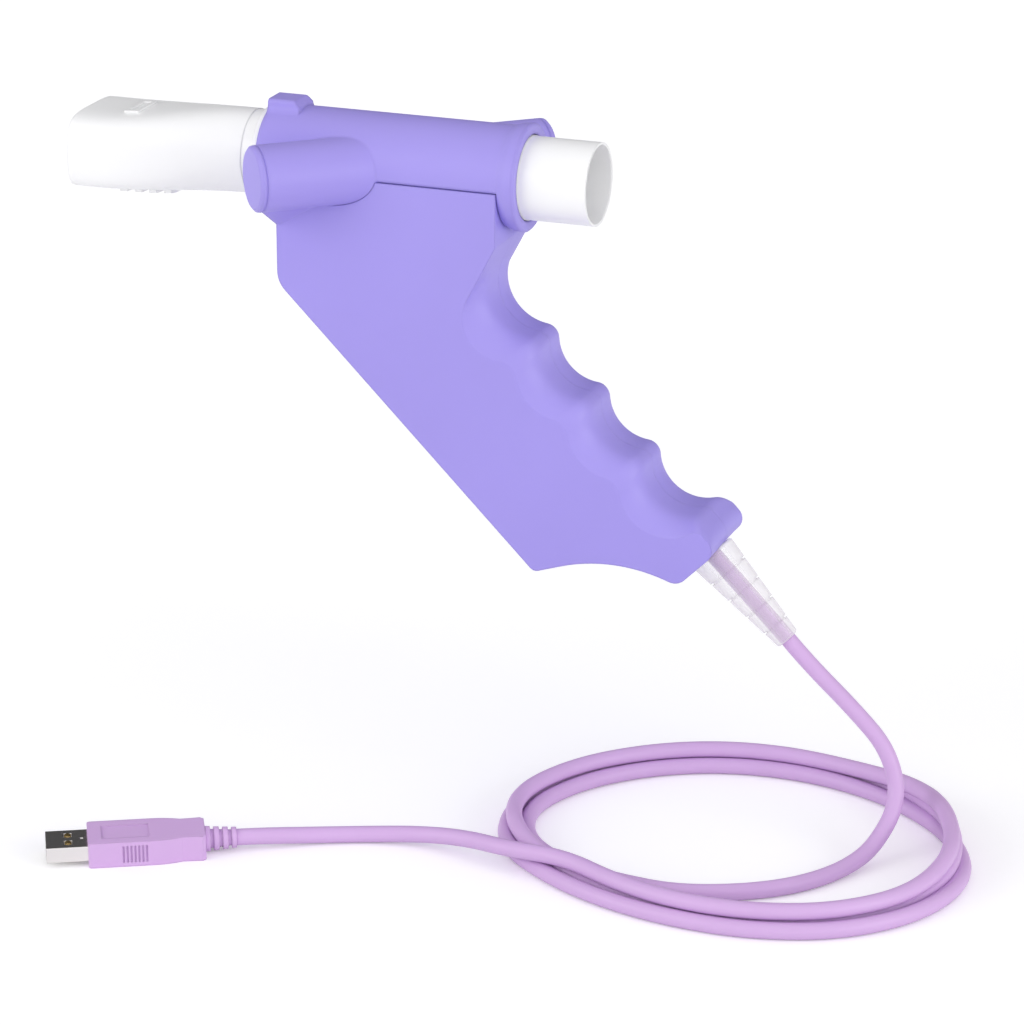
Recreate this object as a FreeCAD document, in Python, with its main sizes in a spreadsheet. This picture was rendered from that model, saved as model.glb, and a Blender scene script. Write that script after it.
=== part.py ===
import FreeCAD, Part
import Sketcher
import math
import os

# Handheld flow spirometer with a slide-in breathing tube and a corded plug.
# Sizes are in millimetres. Every piece is drawn in the head frame: its origin is the point
# where the sound path crosses the axis of the breathing tube, +X runs along the tube
# towards the outlet, +Y away from the viewer and +Z up. Each piece is then placed so that
# the centre of the hand's grip is the origin of the whole object.

SIZES = [
    ("grip_forward", 44.0, "grip centre, ahead of the sound crossing"),
    ("grip_below", 78.0, "grip centre, below the tube axis"),
    ("tube_radius", 12.2, "breathing tube, outside radius"),
    ("tube_wall", 1.0, "breathing tube, wall"),
    ("outlet_reach", 60.0, "crossing to the outlet rim"),
    ("outlet_radius", 12.0, "outlet, outside radius of its stepped end"),
    ("outlet_length", 20.1, "outlet, stepped end"),
    ("mouth_reach", 97.5, "crossing to the mouth rim"),
    ("mouth_start", 45.0, "crossing to where the tube starts to flatten"),
    ("mouth_step", 0.2, "moulding step where the tube starts to flatten"),
    ("mouth_half_width", 18.0, "mouth rim, half width"),
    ("mouth_top", 9.4, "mouth rim, height above the tube axis"),
    ("mouth_bottom", 13.0, "mouth rim, depth below the tube axis"),
    ("stop_radius", 13.5, "stop ring on the tube"),
    ("stop_width", 1.6, "stop ring, along the tube"),
    ("ridge_height", 0.9, "bite ridge, height"),
    ("ridge_pitch", 4.7, "bite ridge, spacing"),
    ("ridge_start", 13.5, "bite ridges, mouth rim to the first"),
    ("ridge_half", 9.0, "bite ridge, half width"),
    ("key_width", 3.6, "tube key"),
    ("key_height", 1.8, "tube key, above the tube"),
    ("key_length", 6.0, "tube key, along the tube"),
    ("window_radius", 6.0, "sound window in the tube"),
    ("mesh_thick", 0.3, "window mesh"),
    ("mesh_gap", 0.1, "window mesh, room at its rim"),
    ("slide_gap", 0.3, "room between the tube and the sleeve"),
    ("sleeve_radius", 14.6, "sleeve, outside radius"),
    ("sleeve_half", 39.7, "sleeve, half length"),
    ("saddle_radius", 13.7, "sleeve where the handle covers wrap it"),
    ("collar_radius", 15.6, "collar at the outlet end"),
    ("collar_start", 34.4, "crossing to the collar"),
    ("hump_half", 4.8, "key housing, half width"),
    ("hump_blend", 3.0, "key housing, hollow blend into the sleeve"),
    ("hump_length", 10.0, "key housing, along the sleeve"),
    ("hump_rise", 2.4, "key housing, above the sleeve"),
    ("sound_angle", 41.3, "sound path to tube axis, degrees"),
    ("boss_radius", 9.63, "transducer barrel, outside radius"),
    ("boss_reach", 43.1, "crossing to the barrel's end face"),
    ("boss_bore", 8.3, "transducer barrel, bore radius"),
    ("sound_bore", 6.6, "sound channel radius"),
    ("transducer_seat", 28.8, "crossing to the transducer's seat"),
    ("cap_thick", 1.8, "end cap, flange"),
    ("cap_spigot", 3.4, "end cap, spigot length"),
    ("fit_gap", 0.1, "room between fixed parts"),
    ("can_radius", 6.9, "transducer can"),
    ("can_length", 9.0, "transducer can"),
    ("tongue_half", 1.5, "head's tongue, half thickness"),
    ("tongue_bottom", 27.5, "head's tongue, below the tube axis"),
    ("tongue_back", 30.5, "head's tongue, behind the crossing"),
    ("tongue_front", 20.5, "head's tongue, ahead of the crossing"),
    ("panel_half", 14.8, "handle, half thickness"),
    ("shell_wall", 2.2, "handle covers, wall"),
    ("parting_drop", 1.5, "lower edge of the full sleeve, below the tube axis"),
    ("parting_gap", 0.35, "shadow gap between the sleeve and the covers' top edge"),
    ("cover_back", 33.0, "covers, behind the crossing"),
    ("cover_front", 34.2, "covers, ahead of the crossing"),
    ("handle_lean", 45.0, "handle below the tube axis, degrees"),
    ("front_line", 47.6, "crossing to the palm face"),
    ("web_top", 17.5, "web over the index finger, below the tube axis"),
    ("groove_line", 7.0, "finger centres, outside the crossing line"),
    ("groove_radius", 12.8, "finger groove"),
    ("groove_pitch", 22.2, "finger groove spacing"),
    ("groove_first", 75.6, "crossing to the first finger, along the handle"),
    ("groove_sink", 5.8, "finger centres, deeper at the side panel"),
    ("groove_spread", 1.2, "finger groove, wider at the side panel"),
    ("hollow_radius", 14.3, "hollow for the index finger"),
    ("hollow_line", 9.2, "index finger centre, outside the crossing line"),
    ("hollow_along", 53.0, "index finger centre, along the handle"),
    ("hollow_sink", 11.7, "index finger centre, deeper at the side panel"),
    ("hollow_narrow", 2.8, "index finger hollow, tighter at the side panel"),
    ("ridge_radius", 4.0, "rounded ridge between two fingers"),
    ("ridge_spread", 1.0, "rounded ridge, larger at the side panel"),
    ("heel_top", 1.5, "heel, outside the crossing line"),
    ("heel_sink", 0.6, "heel, lower at the side panel"),
    ("heel_crest", 3.0, "heel, radius beside the last finger"),
    ("heel_radius", 6.0, "heel, radius at the end face"),
    ("heel_tighten", 2.0, "heel, smaller radius at the side panel"),
    ("heel_along", 142.8, "crossing to the handle's end face"),
    ("foot_middle", 70.3, "lowest edge, crossing to its middle"),
    ("foot_drop", 108.2, "lowest edge, below the tube axis"),
    ("foot_half", 16.3, "lowest edge, half its arc"),
    ("foot_sag", 2.7, "lowest edge, rise of its arc"),
    ("foot_corner", 2.5, "lowest edge, corner radius at the palm"),
    ("toe_corner", 4.5, "lowest edge, corner radius at the cord"),
    ("brow_corner", 8.0, "palm face, upper corner radius"),
    ("post_radius", 3.6, "screw post"),
    ("screw_radius", 1.5, "housing screw"),
    ("pilot_radius", 1.25, "housing screw, core in the post"),
    ("screw_head", 2.9, "housing screw, head radius"),
    ("screw_depth", 8.0, "housing screw head, below the far panel"),
    ("screw_bite", 9.0, "housing screw, length in the near post"),
    ("board_thick", 1.6, "main board"),
    ("board_level", 1.0, "main board, behind the middle plane"),
    ("board_start", 56.0, "main board, along the handle"),
    ("board_end", 98.0, "main board, along the handle"),
    ("board_inner", 16.5, "main board, inside the crossing line"),
    ("board_outer", 42.5, "main board, inside the crossing line"),
    ("relief_line", 7.6, "cord axis, inside the crossing line"),
    ("relief_root", 7.0, "strain relief, root radius"),
    ("relief_tip", 3.5, "strain relief, tip radius"),
    ("relief_length", 33.0, "strain relief, outside length"),
    ("relief_neck", 4.4, "strain relief, neck radius"),
    ("relief_flange", 6.0, "strain relief, flange radius"),
    ("flange_thick", 2.5, "strain relief, flange"),
    ("neck_length", 5.0, "strain relief, neck"),
    ("cord_radius", 2.4, "cord"),
    ("cord_gap", 0.05, "room round the cord"),
    ("clamp_radius", 3.4, "cord clamp"),
    ("clamp_length", 2.6, "cord clamp"),
    ("floor_drop", 185.0, "resting surface, below the tube axis"),
    ("coil_x", 112.0, "coil centre"),
    ("coil_y", -28.0, "coil centre"),
    ("coil_inner", 49.5, "coil, inside radius"),
    ("coil_outer", 70.5, "coil, outside radius"),
    ("coil_height", 10.0, "coil"),
    ("plug_x", -58.6, "plug, middle of its overmould's front face"),
    ("plug_y", -98.4, "plug, middle of its overmould's front face"),
    ("plug_turn", 28.0, "plug, turned from the tube axis, degrees"),
    ("shell_width", 12.0, "plug shell"),
    ("shell_height", 4.5, "plug shell"),
    ("shell_length", 11.9, "plug shell, outside the overmould"),
    ("shell_tuck", 7.0, "plug shell, inside the overmould"),
    ("shell_sheet", 0.3, "plug shell, sheet"),
    ("contact_pitch", 2.25, "plug contacts, spacing"),
    ("contact_width", 1.0, "plug contacts"),
    ("mould_length", 33.5, "plug overmould"),
    ("mould_width", 15.6, "plug overmould, front"),
    ("mould_waist", 12.8, "plug overmould, waist"),
    ("mould_rear", 13.4, "plug overmould, rear"),
    ("mould_height", 7.6, "plug overmould"),
    ("neck_reach", 9.0, "plug's ribbed neck, length"),
    ("neck_front", 3.7, "plug's ribbed neck, radius at the plug"),
    ("neck_rear", 3.0, "plug's ribbed neck, radius at the cord"),
]

doc = FreeCAD.newDocument("Spirometer")
V = FreeCAD.Vector

sheet = doc.addObject("Spreadsheet::Sheet", "sizes")
for row, (alias, value, note) in enumerate(SIZES, start=1):
    sheet.set(f"A{row}", note)
    sheet.set(f"B{row}", str(value))
    sheet.setAlias(f"B{row}", alias)
doc.recompute()


def size(alias):
    """A driving dimension, as the sheet holds it."""
    return float(getattr(sheet, alias))


LEAN = math.radians(size("handle_lean"))
GRIP_SHIFT = V(-size("grip_forward"), 0, size("grip_below"))
SOUND_TURN = {"near": size("sound_angle") + 180.0, "far": size("sound_angle")}
PANEL_SIDE = {"near": -1, "far": 1}
pieces = []


def keep(piece, label):
    """Name a finished piece and put it where the grip centre is the origin."""
    piece.Label = label
    piece.setExpression("Placement.Base.x", "-sizes.grip_forward")
    piece.setExpression("Placement.Base.z", "sizes.grip_below")
    pieces.append(piece)
    return piece


def keep_shape(shape, label):
    """A piece whose shape no feature makes, placed like the others."""
    piece = doc.addObject("Part::Feature", label)
    piece.Shape = shape
    return keep(piece, label)


def new_body(label):
    return keep(doc.addObject("PartDesign::Body", label), label)


def sketch_on(body, role, name, turn=0.0, shift=(0.0, 0.0, 0.0)):
    """A sketch on one of the body's own planes, turned about and shifted from its origin."""
    sketch = body.newObject("Sketcher::SketchObject", name)
    plane = next(part for part in body.Origin.OriginFeatures if part.Role == role)
    sketch.AttachmentSupport = [(plane, "")]
    sketch.MapMode = "FlatFace"
    sketch.AttachmentOffset = FreeCAD.Placement(V(*shift), FreeCAD.Rotation(V(0, 0, 1), turn))
    return sketch


def draw(sketch, start, steps):
    """A closed outline: a step is a line's end, or an arc's middle and end."""
    here = V(*start, 0)
    for step in steps:
        if isinstance(step[0], tuple):
            middle = V(*step[0], 0)
            end = V(*step[1], 0)
            sketch.addGeometry(Part.Arc(here, middle, end))
        else:
            end = V(*step, 0)
            sketch.addGeometry(Part.LineSegment(here, end))
        here = end
    return sketch


def polygon(sketch, points):
    return draw(sketch, points[0], points[1:] + points[:1])


def sized_circle(sketch, centre, expression):
    """A circle whose radius follows the sheet."""
    index = sketch.addGeometry(Part.Circle(V(*centre, 0), V(0, 0, 1), 1.0))
    constraint = sketch.addConstraint(Sketcher.Constraint("Radius", index, 1.0))
    sketch.setExpression(f"Constraints[{constraint}]", expression)
    return sketch


def extrude(body, kind, sketch, name, length, reverse=False, middle=False):
    """A Pad or Pocket of a sketch over a length that follows the sheet."""
    feature = body.newObject(f"PartDesign::{kind}", name)
    feature.Profile = sketch
    feature.setExpression("Length", length)
    feature.Reversed = reverse
    if middle:
        feature.SideType = "Symmetric"
    body.Tip = feature
    return feature


def spin(body, kind, sketch, name, axis="H_Axis"):
    """A Revolution or Groove of a sketch about one of its own axes."""
    feature = body.newObject(f"PartDesign::{kind}", name)
    feature.Profile = sketch
    feature.ReferenceAxis = (sketch, [axis])
    feature.Angle = 360.0
    body.Tip = feature
    return feature


def turned(label, role, turn, shift, profile):
    """A piece turned about the X axis of its sketch."""
    body = new_body(label)
    sketch = polygon(sketch_on(body, role, f"{label}_profile", turn, shift), profile)
    spin(body, "Revolution", sketch, f"{label}_turned")
    return body


def grip_point(along, across):
    """A point of the side view from its place along the handle and across it."""
    x = along * math.cos(LEAN) + across * math.sin(LEAN)
    z = -along * math.sin(LEAN) + across * math.cos(LEAN)
    return (x, z)


def on_circle(centre, radius, towards):
    """The point of a circle that faces another point."""
    gap = math.dist(centre, towards)
    return tuple(c + radius * (t - c) / gap for c, t in zip(centre, towards))


def arc_between(centre, radius, start, end):
    """The middle and end of the shorter arc of a circle."""
    middle = tuple((s + e) / 2 for s, e in zip(start, end))
    return (on_circle(centre, radius, middle), end)


def tangent_point(start, centre, radius):
    """Where a line from a point outside a circle touches it, on the circle's left."""
    bearing = math.atan2(start[1] - centre[1], start[0] - centre[0])
    angle = bearing + math.acos(radius / math.dist(start, centre))
    return (centre[0] + radius * math.cos(angle), centre[1] + radius * math.sin(angle))


def touching_centre(first, first_radius, second, second_radius, radius):
    """Centre of a circle that touches two circles from outside, on the handle's side."""
    reach_a = first_radius + radius
    reach_b = second_radius + radius
    gap = math.dist(first, second)
    along = (gap ** 2 + reach_a ** 2 - reach_b ** 2) / (2 * gap)
    side = math.sqrt(reach_a ** 2 - along ** 2)
    ux, uz = ((second[0] - first[0]) / gap, (second[1] - first[1]) / gap)
    return (first[0] + along * ux + side * uz, first[1] + along * uz - side * ux)


def rounded(before, corner, after, radius):
    """A line to a rounded corner and its arc."""
    to_before = math.atan2(before[1] - corner[1], before[0] - corner[0])
    to_after = math.atan2(after[1] - corner[1], after[0] - corner[0])
    half = abs(math.remainder(to_after - to_before, math.tau)) / 2
    run = radius / math.tan(half)
    start = (corner[0] + run * math.cos(to_before), corner[1] + run * math.sin(to_before))
    end = (corner[0] + run * math.cos(to_after), corner[1] + run * math.sin(to_after))
    middle_way = ((start[0] + end[0]) / 2, (start[1] + end[1]) / 2)
    reach = radius / math.sin(half)
    centre = on_circle(corner, reach, middle_way)
    return [start, (on_circle(centre, radius, corner), end)]


def line_crossing(point, slope, along=None, across=None):
    """Where a line through a point meets a line across or along the handle."""
    x, z = point
    cos, sin = math.cos(LEAN), math.sin(LEAN)
    if along is not None:
        step = (along - x * cos + z * sin) / (cos - slope * sin)
    else:
        step = (across - x * sin - z * cos) / (sin + slope * cos)
    return (x + step, z + slope * step)


HOLLOW = grip_point(size("hollow_along"), size("hollow_line"))


def finger_steps(share):
    """Web, index hollow, finger grooves and heel, at a share of their flare to the side panel."""
    groove = size("groove_radius") + share * size("groove_spread")
    ridge = size("ridge_radius") + share * size("ridge_spread")
    line = size("groove_line") - share * size("groove_sink")
    first, pitch = size("groove_first"), size("groove_pitch")
    fingers = [grip_point(first + number * pitch, line) for number in range(3)]
    hollow = size("hollow_radius") - share * size("hollow_narrow")
    hollow_at = grip_point(size("hollow_along"), size("hollow_line") - share * size("hollow_sink"))
    web = (size("cover_front"), -size("web_top"))
    here = tangent_point(web, hollow_at, hollow)
    steps = [web, here]
    circles = [(hollow_at, hollow)] + [(finger, groove) for finger in fingers]
    for (centre, radius), (after, after_radius) in zip(circles, circles[1:]):
        crest = touching_centre(centre, radius, after, after_radius, ridge)
        leave = on_circle(centre, radius, crest)
        arrive = on_circle(after, after_radius, crest)
        steps.append(arc_between(centre, radius, here, leave))
        outward = ((centre[0] + after[0]) / 2, (centre[1] + after[1]) / 2)
        steps.append((on_circle(crest, ridge, outward), arrive))
        here = arrive
    top = size("heel_top") - share * size("heel_sink")
    lip = size("heel_crest")
    lip_along = first + 2 * pitch + math.sqrt((groove + lip) ** 2 - (line - top + lip) ** 2)
    lip_centre = grip_point(lip_along, top - lip)
    leave = on_circle(fingers[-1], groove, lip_centre)
    steps.append(arc_between(fingers[-1], groove, here, leave))
    steps.append(arc_between(lip_centre, lip, leave, grip_point(lip_along, top)))
    heel = size("heel_radius") - share * size("heel_tighten")
    heel_start = grip_point(size("heel_along") - heel, top)
    heel_centre = grip_point(size("heel_along") - heel, top - heel)
    heel_end = grip_point(size("heel_along"), top - heel)
    steps.append(heel_start)
    steps.append(arc_between(heel_centre, heel, heel_start, heel_end))
    return steps, heel_end


def handle_outline(sketch, share):
    """The covers' side view: saddle edge, finger side, heel, foot and palm face."""
    top = -size("parting_drop") - size("parting_gap")
    back, front = -size("cover_back"), size("cover_front")
    fingers, heel_end = finger_steps(share)
    middle, drop = size("foot_middle"), size("foot_drop")
    half, sag = size("foot_half"), size("foot_sag")
    slope = 2 * sag / half
    foot_front = (middle + half, -drop - sag)
    foot_back = (middle - half, -drop - sag)
    toe = line_crossing(foot_front, -slope, along=size("heel_along"))
    palm_foot = line_crossing(foot_back, slope, across=-size("front_line"))
    brow = (back, -size("front_line") / math.cos(LEAN) - back * math.tan(LEAN))
    steps = [(front, top)] + fingers
    steps += rounded(heel_end, toe, foot_front, size("toe_corner"))
    steps += [foot_front, ((middle, -drop), foot_back)]
    steps += rounded(foot_back, palm_foot, brow, size("foot_corner"))
    steps += rounded(palm_foot, brow, (back, top), size("brow_corner"))
    steps.append((back, top))
    return draw(sketch, (back, top), steps)


def flare_share(level):
    """How far the finger side has flared at a distance from the middle plane."""
    return (level / size("panel_half")) ** 5


def cavity_room(flare):
    """Distance that the cavity keeps from a finger's middle level, for that finger's flare."""
    deepest = size("panel_half") - size("shell_wall")
    return flare_share(deepest) * flare + 1.25 * size("shell_wall")


def cavity_edge():
    """The cavity's straight edge under the finger grooves."""
    flare = size("groove_sink") + size("groove_spread")
    return size("groove_line") - size("groove_radius") - cavity_room(flare)


def cavity_outline(sketch):
    """The hollow of the covers, a wall inside their outline and clear of the fingers."""
    wall = size("shell_wall")
    room = cavity_room(size("hollow_sink") - size("hollow_narrow"))
    ceiling = -size("saddle_radius") - size("fit_gap") - wall
    back = -size("cover_back") + wall
    reach = size("hollow_radius") + room
    inner = cavity_edge()
    palm = -size("front_line") + wall
    floor = -size("foot_drop") + wall
    cos, sin = math.cos(LEAN), math.sin(LEAN)
    heel_along = size("heel_along") - size("neck_length") - size("flange_thick") - 3 * wall
    beside = (HOLLOW[0] - reach, HOLLOW[1])
    under = grip_point(size("hollow_along"), size("hollow_line") - reach)
    shoulder = (HOLLOW[0] - reach * math.cos(math.radians(35)), ceiling)
    heel_top = grip_point(heel_along, inner)
    heel_low = grip_point(heel_along, (floor + heel_along * sin) / cos)
    palm_low = grip_point((palm * cos - floor) / sin, palm)
    palm_top = grip_point((back - palm * sin) / cos, palm)
    steps = [shoulder, beside, arc_between(HOLLOW, reach, beside, under), heel_top,
             heel_low, palm_low, palm_top, (back, ceiling)]
    return draw(sketch, (back, ceiling), steps)


POSTS = {
    "top_back": (-size("cover_back") + size("shell_wall") + size("post_radius") + 1.2,
                 -size("tongue_bottom") + size("post_radius") + 1.0),
    "top_front": (size("tongue_front") - size("post_radius") - 1.0,
                  -size("tongue_bottom") + size("post_radius") + 1.0),
    "foot_back": grip_point(size("board_end") + size("post_radius") + 2.2,
                            -size("front_line") + size("shell_wall") + 0.8 * size("post_radius")),
    "foot_front": grip_point(size("heel_along") - 17.5,
                             cavity_edge() - size("post_radius") - 1.5),
}


FLARE_LEVELS = (0.0, 0.42, 0.62, 0.77, 0.9, 1.0)


def cover(side):
    """One half of the handle's housing, from the middle plane out to its flat panel."""
    sign = PANEL_SIDE[side]
    outward = sign > 0
    body = new_body(f"{side}_cover")
    name = f"{side}_cover"
    handle_turn = -size("handle_lean")
    sections = []
    for number, level in enumerate(FLARE_LEVELS):
        shift = (0, 0, -sign * level * size("panel_half"))
        section = sketch_on(body, "XZ_Plane", f"{name}_section_{number}", shift=shift)
        sections.append(handle_outline(section, flare_share(level * size("panel_half"))))
    block = body.newObject("PartDesign::AdditiveLoft", f"{name}_block")
    block.Profile = sections[0]
    block.Sections = sections[1:]
    body.Tip = block

    if side == "near":
        lip = size("brow_corner")
        back, panel = -size("cover_back"), 0.5 - size("panel_half")
        barrel_reach = size("boss_reach") * math.sin(math.radians(size("sound_angle")))
        corner_z = -size("saddle_radius") - size("shell_wall") - size("fit_gap") - 1.0
        high = sketch_on(body, "XY_Plane", "fairing_top", shift=(0, 0, 1.0 - size("boss_radius")))
        polygon(high, [(back, panel), (back, -barrel_reach), (back + 2 * lip, panel)])
        low = sketch_on(body, "XY_Plane", "fairing_low", shift=(0, 0, corner_z))
        polygon(low, [(back, panel), (back, panel - 0.6), (back + 0.25 * lip, panel)])
        loft = body.newObject("PartDesign::AdditiveLoft", "fairing")
        loft.Profile = high
        loft.Sections = [low]
        loft.Ruled = True
        body.Tip = loft

    saddle = sketch_on(body, "YZ_Plane", f"{name}_saddle_profile")
    sized_circle(saddle, (0, 0), "sizes.saddle_radius + sizes.fit_gap")
    extrude(body, "Pocket", saddle, f"{name}_saddle", "3 * sizes.cover_front", middle=True)

    barrel = sketch_on(body, "XY_Plane", f"{name}_barrel_profile", turn=SOUND_TURN[side])
    reach, radius = size("boss_reach") + 5.0, size("boss_radius") + size("fit_gap")
    polygon(barrel, [(0, 0), (reach, 0), (reach, radius), (0, radius)])
    spin(body, "Groove", barrel, f"{name}_barrel_seat")

    hollow = cavity_outline(sketch_on(body, "XZ_Plane", f"{name}_cavity_outline"))
    extrude(body, "Pocket", hollow, f"{name}_cavity", "sizes.panel_half - sizes.shell_wall",
            reverse=not outward)

    slot_top, slot_low = -size("saddle_radius") + 1.0, -size("saddle_radius") - 2 * size("shell_wall")
    gap = size("fit_gap")
    slot = sketch_on(body, "XZ_Plane", f"{name}_tongue_slot_outline")
    polygon(slot, [(-size("tongue_back") - gap, slot_top), (size("tongue_front") + gap, slot_top),
                   (size("tongue_front") + gap, slot_low), (-size("tongue_back") - gap, slot_low)])
    extrude(body, "Pocket", slot, f"{name}_tongue_slot", "sizes.tongue_half + sizes.fit_gap",
            reverse=not outward)

    for place, centre in POSTS.items():
        at_tongue = place.startswith("top")
        lift = size("tongue_half") if at_tongue else 0.0
        post = sketch_on(body, "XZ_Plane", f"{name}_{place}_circle", shift=(0, 0, -sign * lift))
        sized_circle(post, centre, "sizes.post_radius")
        trim = "sizes.tongue_half + " if at_tongue else ""
        extrude(body, "Pad", post, f"{name}_{place}_post",
                f"sizes.panel_half - ({trim}0.5 * sizes.shell_wall)", reverse=outward)

    relief = sketch_on(body, "XZ_Plane", f"{name}_relief_profile", turn=handle_turn,
                       shift=_on_relief_axis())
    end = size("heel_along")
    neck, flange = size("relief_neck") + gap, size("relief_flange") + gap
    neck_start = end - size("neck_length")
    flange_start = neck_start - size("flange_thick")
    room_start = flange_start - size("clamp_length") - gap
    polygon(relief, [(room_start, 0), (end + 1.0, 0), (end + 1.0, neck), (neck_start + gap, neck),
                     (neck_start + gap, flange), (room_start, flange)])
    spin(body, "Groove", relief, f"{name}_relief_seat")

    duct = sketch_on(body, "XZ_Plane", f"{name}_duct_outline", turn=handle_turn)
    inner, cord_line = cavity_edge() - 1.0, -size("relief_line")
    polygon(duct, [(room_start - 9.0, inner), (room_start + 1.0, cord_line + 2.2),
                   (room_start + 1.0, cord_line - 3.0), (room_start - 3.5, inner)])
    extrude(body, "Pocket", duct, f"{name}_duct", "sizes.clamp_radius", reverse=not outward)

    for place, centre in POSTS.items():
        hole = sketch_on(body, "XZ_Plane", f"{name}_{place}_hole_circle")
        if side == "near":
            sized_circle(hole, centre, "sizes.pilot_radius")
            extrude(body, "Pocket", hole, f"{name}_{place}_hole",
                    "sizes.screw_bite + sizes.tongue_half", reverse=True)
        else:
            sized_circle(hole, centre, "sizes.screw_radius + sizes.fit_gap")
            extrude(body, "Pocket", hole, f"{name}_{place}_hole", "sizes.panel_half + 1", reverse=False)
            head = sketch_on(body, "XZ_Plane", f"{name}_{place}_head_circle",
                             shift=(0, 0, -size("panel_half") - 1.0))
            sized_circle(head, centre, "sizes.screw_head + sizes.fit_gap")
            extrude(body, "Pocket", head, f"{name}_{place}_head", "sizes.screw_depth + 1",
                    reverse=True)

    if side == "far":
        for number, centre in enumerate(BOARD_HOLES):
            post = sketch_on(body, "XZ_Plane", f"board_post_{number}_circle", turn=handle_turn,
                             shift=(0, 0, -size("board_level") - size("board_thick")))
            sized_circle(post, centre, "1.6 * sizes.screw_radius")
            extrude(body, "Pad", post, f"board_post_{number}",
                    "sizes.panel_half - 0.5 * sizes.shell_wall - sizes.board_level"
                    " - sizes.board_thick", reverse=True)
            hole = sketch_on(body, "XZ_Plane", f"board_post_{number}_hole_circle",
                             turn=handle_turn)
            sized_circle(hole, centre, "0.8 * sizes.screw_radius")
            extrude(body, "Pocket", hole, f"board_post_{number}_hole", "10", reverse=False)
    return body


def _on_relief_axis():
    x, z = grip_point(0, -size("relief_line"))
    return (x, z, 0)


BOARD_HOLES = [(size("board_start") + 3.5, -size("board_inner") - 3.5),
               (size("board_end") - 3.5, -size("board_inner") - 3.5),
               (size("board_start") + 3.5, -size("board_outer") + 3.5)]


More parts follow.
